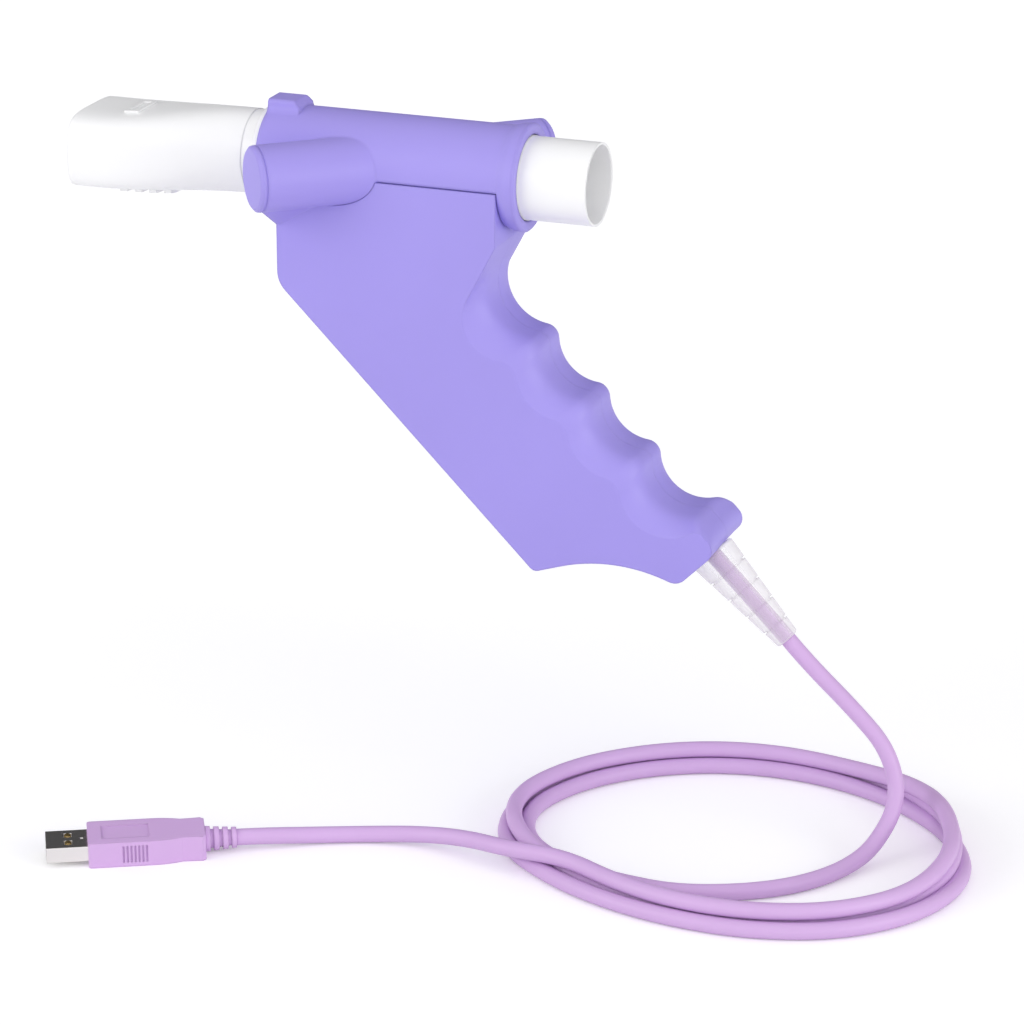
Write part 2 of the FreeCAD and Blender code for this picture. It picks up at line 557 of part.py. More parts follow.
def sensor_head():
    """Sleeve, outlet collar, key housing, two transducer barrels and the fixing tongue."""
    body = new_body("sensor_head")
    half, radius = size("sleeve_half"), size("sleeve_radius")
    collar, start = size("collar_radius"), size("collar_start")
    profile = sketch_on(body, "XZ_Plane", "sleeve_profile")
    polygon(profile, [(-half, 0), (half, 0), (half, collar - 0.5), (half - 0.5, collar),
                      (start + 2.2, collar - 0.2), (start, radius), (1.0 - half, radius),
                      (-half, radius - 0.6)])
    spin(body, "Revolution", profile, "sleeve")

    bite = sketch_on(body, "YZ_Plane", "saddle_ring", shift=(0, 0, -size("cover_back")))
    outer, saddle, drop = collar + 2.0, size("saddle_radius"), size("parting_drop")
    outer_y = math.sqrt(outer ** 2 - drop ** 2)
    saddle_y = math.sqrt(saddle ** 2 - drop ** 2)
    draw(bite, (-saddle_y, -drop),
         [(-outer_y, -drop), ((0, -outer), (outer_y, -drop)), (saddle_y, -drop),
          ((0, -saddle), (-saddle_y, -drop))])
    extrude(body, "Pocket", bite, "saddle_cut", "sizes.cover_back + sizes.collar_start",
            reverse=True)

    hump = sketch_on(body, "YZ_Plane", "hump_outline", shift=(0, 0, -half + 0.4))
    wide, top, blend = size("hump_half"), radius + size("hump_rise"), size("hump_blend")
    hollow_at = (wide + blend, math.sqrt((radius + blend) ** 2 - (wide + blend) ** 2))
    foot = on_circle((0, 0), radius, hollow_at)
    side_top = (wide, hollow_at[1])
    bend = arc_between(hollow_at, blend, foot, side_top)[0]
    soft = top - side_top[1]
    corner = (wide - 0.29 * soft, top - 0.29 * soft)
    draw(hump, (-foot[0], 0.8 * radius),
         [(-foot[0], foot[1]), ((-bend[0], bend[1]), (-wide, side_top[1])),
          ((-corner[0], corner[1]), (-wide + soft, top)), (wide - soft, top),
          (corner, side_top), (bend, foot), (foot[0], 0.8 * radius),
          (-foot[0], 0.8 * radius)])
    extrude(body, "Pad", hump, "hump", "sizes.hump_length")
    slope = sketch_on(body, "XZ_Plane", "hump_slope_outline")
    hump_end = 0.4 - half + size("hump_length")
    polygon(slope, [(hump_end - 0.8 * size("hump_rise"), top), (hump_end, radius + 0.5),
                    (hump_end + 1.0, radius + 0.5), (hump_end + 1.0, top + 1.0),
                    (hump_end - 0.8 * size("hump_rise"), top + 1.0)])
    extrude(body, "Pocket", slope, "hump_slope", "4 * sizes.hump_half", middle=True)

    for side in ("near", "far"):
        barrel = sketch_on(body, "XY_Plane", f"{side}_barrel_profile", turn=SOUND_TURN[side])
        reach, boss = size("boss_reach"), size("boss_radius")
        polygon(barrel, [(0, 0), (reach, 0), (reach, boss - 0.25), (reach - 0.25, boss), (0, boss)])
        spin(body, "Revolution", barrel, f"{side}_barrel")

    tongue = sketch_on(body, "XZ_Plane", "tongue_outline")
    low, inside = -size("tongue_bottom"), -size("tube_radius") - size("slide_gap") - 0.4
    polygon(tongue, [(-size("tongue_back"), inside), (size("tongue_front"), inside),
                     (size("tongue_front"), low), (-size("tongue_back"), low)])
    extrude(body, "Pad", tongue, "tongue", "2 * sizes.tongue_half", middle=True)
    for place in ("top_back", "top_front"):
        hole = sketch_on(body, "XZ_Plane", f"tongue_{place}_circle")
        sized_circle(hole, POSTS[place], "sizes.screw_radius + sizes.fit_gap")
        extrude(body, "Pocket", hole, f"tongue_{place}_hole", "4 * sizes.tongue_half", middle=True)

    bore = sketch_on(body, "YZ_Plane", "sleeve_bore_circle")
    sized_circle(bore, (0, 0), "sizes.tube_radius + sizes.slide_gap")
    extrude(body, "Pocket", bore, "sleeve_bore", "3 * sizes.sleeve_half", middle=True)

    keyway = sketch_on(body, "YZ_Plane", "keyway_outline", shift=(0, 0, -half - 1.0))
    key_half = size("key_width") / 2 + size("slide_gap")
    key_top = size("tube_radius") + size("key_height") + size("slide_gap")
    polygon(keyway, [(-key_half, 0), (key_half, 0), (key_half, key_top), (-key_half, key_top)])
    extrude(body, "Pocket", keyway, "keyway", "sizes.key_length + 3 * sizes.slide_gap + 1.4",
            reverse=True)

    for side in ("near", "far"):
        bore = sketch_on(body, "XY_Plane", f"{side}_bore_profile", turn=SOUND_TURN[side])
        seat, wide, narrow = size("transducer_seat"), size("boss_bore"), size("sound_bore")
        end = size("boss_reach") + 1.0
        polygon(bore, [(0, 0), (end, 0), (end, wide), (seat, wide), (seat, narrow), (0, narrow)])
        spin(body, "Groove", bore, f"{side}_barrel_bore")
    return body


def transducer_parts(side):
    """Cap, transducer can, damping ring and retaining spring ring in one barrel."""
    turn = SOUND_TURN[side]
    face = size("boss_reach")
    rim, spigot = size("boss_radius"), size("boss_bore") - size("fit_gap")
    thick, depth = size("cap_thick"), size("cap_spigot")
    turned(f"{side}_cap", "XY_Plane", turn, (0, 0, 0),
           [(face - depth, 0), (face + thick, 0), (face + thick, rim - 1.0),
            (face + thick - 0.7, rim - 0.15), (face + 0.25, rim), (face, rim - 0.25),
            (face, spigot), (face - depth, spigot)])
    seat, can, gap = size("transducer_seat"), size("can_radius"), size("fit_gap")
    end = seat + size("can_length")
    turned(f"{side}_transducer", "XY_Plane", turn, (0, 0, 0),
           [(seat + 0.6, 0), (end, 0), (end, can - 0.5), (end - 0.5, can), (seat + 1.2, can),
            (seat + 0.6, can - 0.6)])
    wide = size("boss_bore") - gap
    turned(f"{side}_damping_ring", "XY_Plane", turn, (0, 0, 0),
           [(seat, size("sound_bore")), (seat + 0.6, can - 0.6), (seat + 1.2, can),
            (seat + 1.2, can + gap), (end - 0.8, can + gap), (end - 0.8, wide), (seat, wide)])
    back = face - depth
    turned(f"{side}_retainer", "XY_Plane", turn, (0, 0, 0),
           [(end, 0.62 * can), (back, 0.62 * can), (back, 0.86 * can), (end, 0.86 * can)])


def mouth_section(station, inset):
    """A cross section of the tube: round, then a wide oval with a flat top at the mouth."""
    run = (station - size("mouth_start")) / (size("mouth_reach") - 6.0 - size("mouth_start"))
    run = min(max(run, 0.0), 1.0)
    blend = run * run * (3 - 2 * run)
    radius = size("tube_radius") + size("mouth_step")
    wide = radius + blend * (size("mouth_half_width") - radius) - inset
    top = radius + blend * (size("mouth_top") - radius) - inset
    low = radius + blend * (size("mouth_bottom") - radius) - inset
    power = 2.0 / (2.0 + 2.0 * blend)
    middle, tall = (top - low) / 2, (top + low) / 2
    points = []
    count = 32
    for i in range(count):
        angle = math.tau * i / count
        c, s = math.cos(angle), math.sin(angle)
        y = wide * math.copysign(abs(c) ** power, c)
        z = middle + tall * math.copysign(abs(s) ** power, s)
        points.append(V(-station, y, z))
    curve = Part.BSplineCurve()
    curve.interpolate(Points=points, PeriodicFlag=True)
    return Part.Wire([curve.toShape()])


def mouth_loft(inset, first, last):
    span = last - first
    stations = [first + span * share for share in (0.0, 0.15, 0.3, 0.45, 0.6, 0.75, 0.9, 1.0)]
    return Part.makeLoft([mouth_section(s, inset) for s in stations], True, False)


def breathing_tube():
    """The disposable tube: round through the sleeve, wide and flat-topped at the mouth."""
    radius, wall = size("tube_radius"), size("tube_wall")
    start, outlet, mouth = size("mouth_start"), size("outlet_reach"), size("mouth_reach")
    along = V(1, 0, 0)
    lap = V(-start - wall, 0, 0)
    step = outlet - size("outlet_length")
    tube = Part.makeCylinder(radius, start + step + wall, lap, along)
    tube = tube.fuse(Part.makeCylinder(size("outlet_radius"), outlet, V(0, 0, 0), along))
    tube = tube.fuse(mouth_loft(0.0, start, mouth))
    stop = Part.makeCylinder(size("stop_radius"), size("stop_width"),
                             V(-size("sleeve_half") - size("stop_width"), 0, 0), along)
    key = Part.makeBox(size("key_length"), size("key_width"), size("key_height") + wall,
                       V(-size("sleeve_half"), -size("key_width") / 2, radius - wall))
    tube = tube.fuse([stop, key])
    sound = math.radians(size("sound_angle"))
    ridge, pitch, wide = size("ridge_height"), size("ridge_pitch"), size("ridge_half")
    first = mouth - size("ridge_start")
    for number in range(4):
        station = first - number * pitch
        box = mouth_section(station, -ridge).BoundBox
        bar = Part.makeBox(0.5 * pitch, 2 * wide, 3.0, V(-station - 0.25 * pitch, -wide, box.ZMin))
        tube = tube.fuse(bar.common(mouth_loft(-ridge, station - 2.0, station + 2.0)))
    rim, length, low, high = 1.1, pitch, -0.8 * wide, 0.6 * wide
    for station, length, y, width in ((first, rim, low, high - low),
                                      (first - pitch + rim, rim, low, high - low),
                                      (first, pitch, low, rim), (first, pitch, high - rim, rim)):
        box = mouth_section(station - length / 2, -ridge).BoundBox
        bar = Part.makeBox(length, width, 3.0, V(-station, y, box.ZMax - 2.0))
        near_end, far_end = station - length - 0.5, station + 0.5
        tube = tube.fuse(bar.common(mouth_loft(-0.7 * ridge, near_end, far_end)))
    bore = Part.makeCylinder(radius - wall, start + outlet + 2 * wall, lap, along)
    tube = tube.cut(bore.fuse(mouth_loft(wall, start, mouth)))
    window = Part.makeCylinder(size("window_radius"), 4 * radius, V(0, 0, 0),
                               V(math.cos(sound), math.sin(sound), 0))
    opposite = window.copy()
    opposite.rotate(V(0, 0, 0), V(0, 0, 1), 180)
    return keep_shape(tube.cut([window, opposite]).removeSplitter(), "breathing_tube")


def window_mesh(side):
    """A fine curved screen that closes the sound window, flush with the tube's outside."""
    radius = size("tube_radius")
    angle = math.radians(SOUND_TURN[side])
    outer = Part.makeCylinder(radius, 4 * radius, V(-2 * radius, 0, 0), V(1, 0, 0))
    inner = Part.makeCylinder(radius - size("mesh_thick"), 4 * radius, V(-2 * radius, 0, 0),
                              V(1, 0, 0))
    plug = Part.makeCylinder(size("window_radius") - size("mesh_gap"), 4 * radius, V(0, 0, 0),
                             V(math.cos(angle), math.sin(angle), 0))
    return keep_shape(outer.cut(inner).common(plug), f"{side}_window_mesh")


def handle_sketch(body, name, level=0.0):
    """A sketch in the middle plane, with its X along the handle, at a level behind it."""
    return sketch_on(body, "XZ_Plane", name, turn=-size("handle_lean"), shift=(0, 0, -level))


def rectangle(sketch, along, across, length, width):
    return polygon(sketch, [(along, across), (along + length, across),
                            (along + length, across + width), (along, across + width)])


def main_board():
    body = new_body("main_board")
    first, last = size("board_start"), size("board_end")
    inner, outer = -size("board_inner"), -size("board_outer")
    outline = handle_sketch(body, "board_outline", size("board_level"))
    polygon(outline, [(first, outer), (last - 6.0, outer), (last, outer + 6.0), (last, inner),
                      (first, inner)])
    extrude(body, "Pad", outline, "board", "sizes.board_thick", reverse=True)
    for number, centre in enumerate(BOARD_HOLES):
        hole = handle_sketch(body, f"board_hole_{number}_circle")
        sized_circle(hole, centre, "0.8 * sizes.screw_radius + sizes.fit_gap")
        extrude(body, "Pocket", hole, f"board_hole_{number}", "10", reverse=False)
    return body


def board_blocks(label, blocks):
    """Parts that stand on the board's near face: place along and across, size and height."""
    face = size("board_level")
    solids = []
    lean = FreeCAD.Rotation(V(0, 1, 0), size("handle_lean"))
    for along, across, length, width, height in blocks:
        block = Part.makeBox(length, height, width, V(along, face - height, across))
        block.rotate(V(0, 0, 0), lean.Axis, math.degrees(lean.Angle))
        solids.append(block)
    shape = solids[0] if len(solids) == 1 else Part.makeCompound(solids)
    return keep_shape(shape, label)


def board_parts():
    first, last = size("board_start"), size("board_end")
    inner = -size("board_inner")
    board_blocks("board_chips", [
        (first + 14.0, inner - 18.0, 10.0, 10.0, 1.4), (first + 30.0, inner - 21.0, 5.0, 6.0, 1.5),
        (first + 12.0, inner - 6.0, 5.0, 4.0, 1.5), (first + 28.0, inner - 8.0, 7.0, 5.0, 1.8),
        (first + 5.0, inner - 14.0, 4.5, 3.2, 3.2)])
    board_blocks("cord_header", [(last - 5.5, inner - 17.0, 4.5, 9.0, 4.5)])
    board_blocks("transducer_headers", [(first + 1.0, inner - 12.5, 3.6, 5.5, 4.2),
                                        (first + 1.0, inner - 19.5, 3.6, 5.5, 4.2)])


def screws(label, places, core, head, head_height, start, end):
    """Pan-head screws along Y: the head's underside at one level, the point at the other."""
    solids = []
    for x, z in places:
        shank = Part.makeCylinder(core, abs(end - start), V(x, start, z), V(0, -1, 0))
        cap = Part.makeCylinder(head, head_height, V(x, start, z), V(0, 1, 0))
        cross_a = Part.makeBox(0.6 * head * 2, head_height, 0.24 * head,
                               V(x - 0.6 * head, start + 0.5 * head_height, z - 0.12 * head))
        cross_b = Part.makeBox(0.24 * head, head_height, 0.6 * head * 2,
                               V(x - 0.12 * head, start + 0.5 * head_height, z - 0.6 * head))
        solids.append(shank.fuse(cap).cut([cross_a, cross_b]))
    return keep_shape(Part.makeCompound(solids), label)


def relief_profile():
    """Strain relief: flange and neck in the wall, then a stepped taper along the cord."""
    end, gap = size("heel_along"), size("cord_gap")
    bore = size("cord_radius") + gap
    neck_start = end - size("neck_length")
    flange_start = neck_start - size("flange_thick")
    root, tip, length = size("relief_root"), size("relief_tip"), size("relief_length")
    profile = [(flange_start, bore), (flange_start, size("relief_flange")),
               (neck_start, size("relief_flange")), (neck_start, size("relief_neck")),
               (end, size("relief_neck")), (end, root - 0.5), (end + 0.5, root)]
    steps = 4
    notch, depth = 0.7, 0.7
    pitch = length / (steps + 0.8)
    for number in range(1, steps + 1):
        at = number * pitch
        here = root + (tip - root) * at / length
        profile += [(end + at - notch / 2, here + 0.1), (end + at - notch / 2, here - depth),
                    (end + at + notch / 2, here - depth), (end + at + notch / 2, here)]
    profile += [(end + length - 0.4, tip + 0.1), (end + length, tip - 0.4), (end + length, bore)]
    return profile


def cord_end_parts():
    turn, axis_shift = -size("handle_lean"), _on_relief_axis()
    turned("strain_relief", "XZ_Plane", turn, axis_shift, relief_profile())
    end, length = size("heel_along"), size("relief_length")
    flange_start = end - size("neck_length") - size("flange_thick")
    clamp_end = flange_start
    clamp_start = flange_start - size("clamp_length")
    cord, gap, clamp = size("cord_radius"), size("cord_gap"), size("clamp_radius")
    turned("cord_clamp", "XZ_Plane", turn, axis_shift,
           [(clamp_start, cord), (clamp_end, cord), (clamp_end, clamp), (clamp_end - 0.9, clamp),
            (clamp_end - 1.3, clamp - 0.4), (clamp_start + 0.4, clamp - 0.4), (clamp_start, clamp - 0.8)])
    turned("cord_core", "XZ_Plane", turn, axis_shift,
           [(clamp_start, 0), (end + length, 0), (end + length, cord), (clamp_start, cord)])


def route_wire(points):
    """Straight runs joined by tangent arcs that are as large as the runs allow."""
    edges, radii = [], []
    here = points[0]
    for before, corner, after in zip(points, points[1:], points[2:]):
        back, ahead = before - corner, after - corner
        turn = math.pi - back.getAngle(ahead)
        run = 0.45 * min(back.Length, ahead.Length)
        radii.append(run / math.tan(turn / 2))
        back.normalize()
        ahead.normalize()
        start, end = corner + back * run, corner + ahead * run
        middle_way = back + ahead
        middle_way.normalize()
        reach = radii[-1] / math.cos(turn / 2)
        middle = corner + middle_way * (reach - radii[-1])
        edges.append(Part.LineSegment(here, start).toShape())
        edges.append(Part.Arc(start, middle, end).toShape())
        here = end
    edges.append(Part.LineSegment(here, points[-1]).toShape())
    return Part.Wire(edges), radii


def cord_tube(label, points, radius):
    """A round tube along a route, with its tightest bend printed."""
    wire, radii = route_wire([V(*p) for p in points])
    start = points[0]
    tangent = V(*points[1]) - V(*start)
    ring = Part.Wire([Part.Circle(V(*start), tangent, radius).toShape()])
    tube = wire.makePipeShell([ring], True, True)
    expected = math.pi * radius ** 2 * wire.Length
    print(label, "length", round(wire.Length, 1), "volume share", round(tube.Volume / expected, 4),
          "radii", [round(r) for r in radii])
    return tube


FLOOR = -size("floor_drop")
LOW = FLOOR + size("cord_radius")
cord_exit_x, cord_exit_z = grip_point(size("heel_along") + size("relief_length"),
                                      -size("relief_line"))
heading_x, heading_z = grip_point(1.0, 0.0)
RING_CENTRE = (size("coil_x"), size("coil_y"))

DROP_ROUTE = [
    (cord_exit_x, 0.0, cord_exit_z),
    (cord_exit_x + 9 * heading_x, -0.5, cord_exit_z + 9 * heading_z),
    (140.0, -4.0, -147.0),
    (151.0, -6.5, -157.0),
    (156.0, -10.0, -170.5),
    (153.5, -22.0, -180.2),
    (148.5, -34.5, LOW),
    (139.5, -49.5, LOW),
    (126.0, -59.5, LOW),
    (110.0, -65.5, LOW),
    (94.0, -70.5, LOW),
    (83.4, -69.5, LOW),
]

PLUG_TURN = math.radians(size("plug_turn"))
PLUG_LEVEL = FLOOR + size("mould_height") / 2


def plug_point(along, across=0.0):
    """A point on the floor plan from its place behind the overmould's front face."""
    x = size("plug_x") + along * math.cos(PLUG_TURN) - across * math.sin(PLUG_TURN)
    y = size("plug_y") + along * math.sin(PLUG_TURN) + across * math.cos(PLUG_TURN)
    return (x, y)


neck_end = size("mould_length") + size("neck_reach")
TAIL = plug_point(neck_end)
TAIL_AHEAD = plug_point(neck_end + 7.0)

RUN_ROUTE = [
    (70.0, -70.5, FLOOR + 7.2),
    (56.0, -68.8, FLOOR + 7.0),
    (42.0, -64.8, FLOOR + 4.6),
    (27.0, -64.5, LOW),
    (11.5, -69.8, LOW),
    (-3.0, -73.8, LOW + 0.3),
    (TAIL_AHEAD[0], TAIL_AHEAD[1], PLUG_LEVEL),
    (TAIL[0], TAIL[1], PLUG_LEVEL),
]


def coil_ring():
    """The outer shape of the loose turns: a flat ring with rounded shoulders."""
    inner, outer, height = size("coil_inner"), size("coil_outer"), size("coil_height")
    soft = size("cord_radius")
    profile = Part.makePolygon([V(RING_CENTRE[0] + r, RING_CENTRE[1], FLOOR + z) for r, z in (
        (inner, 0), (outer, 0), (outer, height - soft), (outer - soft, height),
        (inner + soft, height), (inner, height - soft), (inner, 0))])
    return Part.Face(profile).revolve(V(RING_CENTRE[0], RING_CENTRE[1], 0), V(0, 0, 1), 360)


def cords():
    radius = size("cord_radius")
    ring = coil_ring()
    drop = cord_tube("cord_drop", DROP_ROUTE, radius).cut(ring)
    run = cord_tube("cord_run", RUN_ROUTE, radius).cut(ring)
    drop = max(drop.Solids, key=lambda solid: solid.Volume)
    run = max(run.Solids, key=lambda solid: solid.Volume)
    keep_shape(drop, "cord_drop")
    keep_shape(ring, "cord_coil")
    keep_shape(run, "cord_run")


def plug_body(label):
    """A body of the plug: drawn along +X from the overmould's face, then laid on the floor."""
    body = doc.addObject("PartDesign::Body", label)
    body.Label = label
    body.setExpression("Placement.Base.x", "sizes.plug_x - sizes.grip_forward")
    body.setExpression("Placement.Base.y", "sizes.plug_y")
    body.setExpression("Placement.Base.z",
                       "sizes.grip_below - sizes.floor_drop + sizes.mould_height / 2")
    body.setExpression("Placement.Rotation.Angle", "sizes.plug_turn")
    pieces.append(body)
    return body


def plug_overmould():
    body = plug_body("plug_overmould")
    length, front, waist, rear = (size(name) / (1 if name == "mould_length" else 2)
                                  for name in ("mould_length", "mould_width", "mould_waist",
                                               "mould_rear"))
    plan = sketch_on(body, "XY_Plane", "overmould_plan", shift=(0, 0, -size("mould_height") / 2))
    waist_at = 0.8 * length
    draw(plan, (0, -front + 1.0),
         [((0.3, -front + 0.3), (1.0, -front)), (0.55 * length, -front),
          ((0.7 * length, -front + 0.35 * (front - waist)), (waist_at, -waist)),
          ((0.9 * length, -0.55 * waist - 0.45 * rear), (length - 1.0, -rear)),
          (length, -rear + 1.0), (length, rear - 1.0), (length - 1.0, rear),
          ((0.9 * length, 0.55 * waist + 0.45 * rear), (waist_at, waist)),
          ((0.7 * length, front - 0.35 * (front - waist)), (0.55 * length, front)),
          (1.0, front), ((0.3, front - 0.3), (0, front - 1.0)), (0, -front + 1.0)])
    extrude(body, "Pad", plan, "overmould", "sizes.mould_height")
    recess = sketch_on(body, "XY_Plane", "recess_plan", shift=(0, 0, size("mould_height") / 2))
    rectangle(recess, 4.0, -front + 3.4, 0.55 * length - 5.0, 2 * front - 6.8)
    extrude(body, "Pocket", recess, "recess", "0.05 * sizes.mould_height")
    for number in range(7):
        for side in (-1, 1):
            groove = sketch_on(body, "XY_Plane", f"grip_groove_{number}_{side + 1}",
                               shift=(0, 0, size("mould_height") / 2 - 1.3))
            edge = side * front
            rectangle(groove, 0.29 * length + 1.1 * number, edge - 0.35, 0.5, 0.7)
            extrude(body, "Pocket", groove, f"grip_cut_{number}_{side + 1}",
                    "sizes.mould_height - 2.6")
    pocket = sketch_on(body, "YZ_Plane", "shell_pocket")
    half_w, half_h = size("shell_width") / 2, size("shell_height") / 2
    rectangle(pocket, -half_w, -half_h, 2 * half_w, 2 * half_h)
    extrude(body, "Pocket", pocket, "shell_seat", "sizes.shell_tuck", reverse=True)
    return body


def plug_neck():
    """Ribbed neck behind the overmould, moulded round the cord."""
    body = plug_body("plug_neck")
    start, reach = size("mould_length"), size("neck_reach")
    front, rear = size("neck_front"), size("neck_rear")
    rise = -size("mould_height") / 2 + PLUG_LEVEL - FLOOR
    profile = sketch_on(body, "XY_Plane", "neck_profile", shift=(0, 0, rise))
    points = [(start, 0), (start, front)]
    count = 3
    pitch = reach / (count + 0.5)
    for number in range(count):
        at = start + (number + 0.55) * pitch
        here = front + (rear - front) * (at - start) / reach
        points += [(at, here), (at, here - 0.8), (at + 0.4 * pitch, here - 0.9),
                   (at + 0.4 * pitch, here - 0.15)]
    points += [(start + reach, rear), (start + reach, 0)]
    polygon(profile, points)
    spin(body, "Revolution", profile, "neck")
    return body


def plug_metal():
    """Folded shell with its four windows, contact tongue and gold contacts."""
    length, tuck = size("shell_length"), size("shell_tuck")
    half_w, half_h = size("shell_width") / 2, size("shell_height") / 2
    sheet = size("shell_sheet")
    body = plug_body("plug_shell")
    section = sketch_on(body, "YZ_Plane", "shell_section", shift=(0, 0, -length))
    rectangle(section, -half_w, -half_h, 2 * half_w, 2 * half_h)
    extrude(body, "Pad", section, "shell", "sizes.shell_length + sizes.shell_tuck")
    mouth = sketch_on(body, "YZ_Plane", "shell_mouth", shift=(0, 0, -length))
    rectangle(mouth, -half_w + sheet, -half_h + sheet, 2 * (half_w - sheet), 2 * (half_h - sheet))
    extrude(body, "Pocket", mouth, "shell_hollow",
            "sizes.shell_length + sizes.shell_tuck - sizes.shell_sheet", reverse=True)
    windows = sketch_on(body, "XY_Plane", "shell_windows")
    for side in (-1, 1):
        rectangle(windows, -0.56 * length, side * 0.42 * half_w - 1.25, 2.2, 2.5)
    rectangle(windows, -0.17 * length, -0.4, 0.8, 0.8)
    extrude(body, "Pocket", windows, "window_holes", "2 * sizes.shell_height", middle=True)

    body = plug_body("plug_tongue")
    tongue = sketch_on(body, "YZ_Plane", "tongue_section", shift=(0, 0, -length + 0.8))
    rectangle(tongue, -half_w + sheet, half_h - sheet - 1.85, 2 * (half_w - sheet), 1.85)
    extrude(body, "Pad", tongue, "tongue_bar",
            "sizes.shell_length + sizes.shell_tuck - 0.8 - sizes.shell_sheet")

    body = plug_body("plug_contacts")
    under = half_h - sheet - 1.85
    strips = sketch_on(body, "XY_Plane", "contact_plan", shift=(0, 0, under - sheet))
    pitch, width = size("contact_pitch"), size("contact_width")
    for number in range(4):
        across = (number - 1.5) * pitch - width / 2
        rectangle(strips, -length + 1.8, across, length - 3.0, width)
    extrude(body, "Pad", strips, "contact_strips", "sizes.shell_sheet")


def housing_screws():
    start = size("panel_half") - size("screw_depth")
    screws("housing_screws", list(POSTS.values()), size("pilot_radius"), size("screw_head"),
           1.9, start, -size("screw_bite"))


def board_screws():
    places = [grip_point(*centre) for centre in BOARD_HOLES]
    solids = []
    level = size("board_level")
    core = 0.8 * size("screw_radius")
    for x, z in places:
        shank = Part.makeCylinder(core, 7.0, V(x, level, z), V(0, 1, 0))
        cap = Part.makeCylinder(1.5 * core, 1.2, V(x, level - 1.2, z), V(0, 1, 0))
        solids.append(shank.fuse(cap))
    keep_shape(Part.makeCompound(solids), "board_screws")


sensor_head()
cover("near")
cover("far")
for barrel_side in ("near", "far"):
    transducer_parts(barrel_side)
breathing_tube()
for barrel_side in ("near", "far"):
    window_mesh(barrel_side)
main_board()
board_parts()
housing_screws()
board_screws()
cord_end_parts()
cords()
plug_overmould()
plug_neck()
plug_metal()

doc.recompute()
faults = [part.Name for part in doc.Objects if "Invalid" in part.State or "Error" in part.State]
if faults:
    raise RuntimeError(f"failed objects: {faults}")
os.makedirs("parts", exist_ok=True)
for piece in pieces:
    shape = piece.Shape
    if shape.isNull() or not shape.isValid():
        raise RuntimeError(f"bad shape: {piece.Label}")
    box = shape.BoundBox
    print(f"{piece.Label:20s} solids {len(shape.Solids)} volume {shape.Volume:9.1f} "
          f"x {box.XMin:7.1f} {box.XMax:7.1f} y {box.YMin:7.1f} {box.YMax:7.1f} "
          f"z {box.ZMin:7.1f} {box.ZMax:7.1f}")
    shape.exportStep(f"parts/{piece.Label}.step")
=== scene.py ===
import math

import bmesh
import bpy
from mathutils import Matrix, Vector


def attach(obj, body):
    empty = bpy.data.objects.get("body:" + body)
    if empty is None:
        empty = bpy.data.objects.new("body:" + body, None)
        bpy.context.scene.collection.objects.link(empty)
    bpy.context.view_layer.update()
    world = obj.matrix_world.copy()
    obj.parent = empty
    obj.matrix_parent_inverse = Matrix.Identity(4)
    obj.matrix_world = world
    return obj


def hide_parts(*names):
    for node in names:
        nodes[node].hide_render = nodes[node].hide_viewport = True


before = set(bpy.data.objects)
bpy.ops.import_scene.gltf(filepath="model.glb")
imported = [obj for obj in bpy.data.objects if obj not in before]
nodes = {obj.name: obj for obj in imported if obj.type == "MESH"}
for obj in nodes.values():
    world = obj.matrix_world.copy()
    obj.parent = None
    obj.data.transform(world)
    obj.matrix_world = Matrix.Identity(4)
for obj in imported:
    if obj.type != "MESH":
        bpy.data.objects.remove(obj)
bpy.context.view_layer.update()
scene = bpy.context.scene
scene.view_settings.view_transform = "Standard"

# Table, light and camera. The handset is shown held up over a white table that its cord
# lies on. The light is a pale room and a broad lamp on either side of the viewer.
table_height = -0.107
table_sides, table_front, table_back = 6, -3, 9
sheet = bpy.data.meshes.new("table_top")
sheet.from_pydata([(-table_sides, table_front, table_height),
                   (table_sides, table_front, table_height),
                   (table_sides, table_back, table_height),
                   (-table_sides, table_back, table_height)], [], [(0, 1, 2, 3)])
table = bpy.data.objects.new("table_top", sheet)
scene.collection.objects.link(table)
paper = bpy.data.materials.new("white_table")
paper.use_nodes = True
tree = paper.node_tree
tree.nodes.clear()
surface = tree.nodes.new("ShaderNodeOutputMaterial")
added = tree.nodes.new("ShaderNodeAddShader")
diffuse = tree.nodes.new("ShaderNodeBsdfDiffuse")
diffuse.inputs["Color"].default_value = (0.95, 0.95, 0.955, 1)
# The viewer sees the table paler than it is lit, and more so towards its far side.
glow = tree.nodes.new("ShaderNodeEmission")
path = tree.nodes.new("ShaderNodeLightPath")
spot = tree.nodes.new("ShaderNodeTexCoord")
depth = tree.nodes.new("ShaderNodeSeparateXYZ")
tree.links.new(spot.outputs["Object"], depth.inputs[0])
paling = tree.nodes.new("ShaderNodeMapRange")
paling.inputs["From Max"].default_value = 1.2
paling.inputs["To Min"].default_value = 0.17
paling.inputs["To Max"].default_value = 0.35
tree.links.new(depth.outputs["Y"], paling.inputs["Value"])
share = tree.nodes.new("ShaderNodeMath")
share.operation = "MULTIPLY"
tree.links.new(path.outputs["Is Camera Ray"], share.inputs[0])
tree.links.new(paling.outputs[0], share.inputs[1])
tree.links.new(share.outputs[0], glow.inputs["Strength"])
tree.links.new(diffuse.outputs[0], added.inputs[0])
tree.links.new(glow.outputs[0], added.inputs[1])
tree.links.new(added.outputs[0], surface.inputs["Surface"])
table.data.materials.append(paper)

